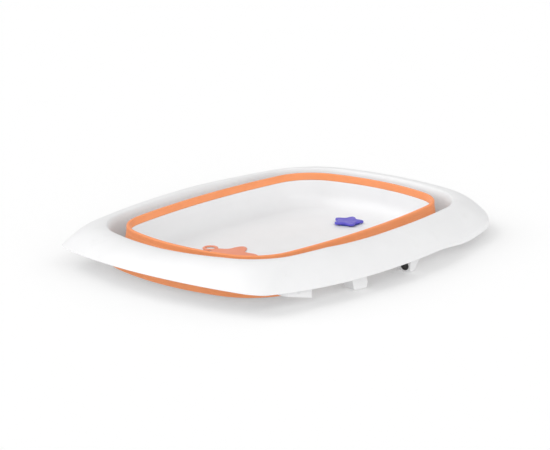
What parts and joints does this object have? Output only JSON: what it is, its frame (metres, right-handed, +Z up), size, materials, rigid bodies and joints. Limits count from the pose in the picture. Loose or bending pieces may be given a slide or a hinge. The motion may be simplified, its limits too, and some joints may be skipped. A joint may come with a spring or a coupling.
{
  "type": "folding baby bathtub",
  "caption": "Shallow folding bath for babies: a white rim on folding legs, a basin that drops out on a soft bellows, a drain with a star-shaped plug and a starfish mat.",
  "frame": {"origin": "on the ground at the centre of the folded tub's outline, which is also the basin's centre", "axes": "+X towards the drain end along the long axis, +Y across the width towards the rear legs, +Z up"},
  "size_m": [0.848, 0.624, 0.08],
  "materials": {
    "white_rim": "satin injection-moulded polypropylene",
    "white_pan": "smooth injection-moulded polypropylene",
    "orange_bellows": "soft thermoplastic rubber, satin",
    "salmon_mat": "soft moulded rubber, satin",
    "violet_plug": "smooth soft plastic",
    "blue_seal": "dark blue sealing rubber",
    "white_bracket": "satin moulded plastic",
    "white_leg": "satin moulded plastic",
    "black_rubber": "non-slip rubber",
    "grey_rubber": "sealing rubber",
    "grey_fitting": "moulded plastic",
    "steel": "plated steel"
  },
  "bodies": {
    "rim": {"rim_frame": "white_rim", "bellows_collar": "orange_bellows", "bellows_wall": "orange_bellows", "bracket_screws": "steel", "hinge_bracket_front_left": "white_bracket", "hinge_pin_front_left": "steel", "hinge_bracket_front_right": "white_bracket", "hinge_pin_front_right": "steel", "hinge_bracket_rear_left": "white_bracket", "hinge_pin_rear_left": "steel", "hinge_bracket_rear_right": "white_bracket", "hinge_pin_rear_right": "steel"},
    "basin": {"basin_pan": "white_pan", "bellows_band": "orange_bellows", "base_pads": "black_rubber", "drain_seat": "grey_fitting", "drain_gasket": "grey_rubber", "drain_nut": "grey_fitting", "star_mat": "salmon_mat"},
    "plug": {"plug_star": "violet_plug", "plug_seal": "blue_seal"},
    "leg_front_left": {"leg_shell_front_left": "white_leg", "leg_cover_front_left": "white_leg", "foot_pad_front_left": "black_rubber"},
    "leg_front_right": {"leg_shell_front_right": "white_leg", "leg_cover_front_right": "white_leg", "foot_pad_front_right": "black_rubber"},
    "leg_rear_left": {"leg_shell_rear_left": "white_leg", "leg_cover_rear_left": "white_leg", "foot_pad_rear_left": "black_rubber"},
    "leg_rear_right": {"leg_shell_rear_right": "white_leg", "leg_cover_rear_right": "white_leg", "foot_pad_rear_right": "black_rubber"}
  },
  "joints": [
    {"name": "basin_drop", "type": "slide", "parent": "rim", "child": "basin", "axis": [0, 0, -1], "range_m": [0, 0.13], "deforming": ["bellows_wall"]},
    {"name": "leg_fold_front_left", "type": "hinge", "parent": "rim", "child": "leg_front_left", "pos_m": [-0.27492, -0.25055, 0.03], "axis": [0.1583, 0.9874, 0], "range_deg": [0, 90]},
    {"name": "leg_fold_front_right", "type": "hinge", "parent": "rim", "child": "leg_front_right", "pos_m": [0.19166, -0.26771, 0.03], "axis": [0.0883, -0.9961, 0], "range_deg": [0, 90]},
    {"name": "leg_fold_rear_left", "type": "hinge", "parent": "rim", "child": "leg_rear_left", "pos_m": [-0.27492, 0.25055, 0.03], "axis": [-0.1583, 0.9874, 0], "range_deg": [0, 90]},
    {"name": "leg_fold_rear_right", "type": "hinge", "parent": "rim", "child": "leg_rear_right", "pos_m": [0.19166, 0.26771, 0.03], "axis": [-0.0883, -0.9961, 0], "range_deg": [0, 90]},
    {"name": "plug_lift", "type": "slide", "parent": "basin", "child": "plug", "axis": [0, 0, 1], "range_m": [0, 0.03]}
  ]
}
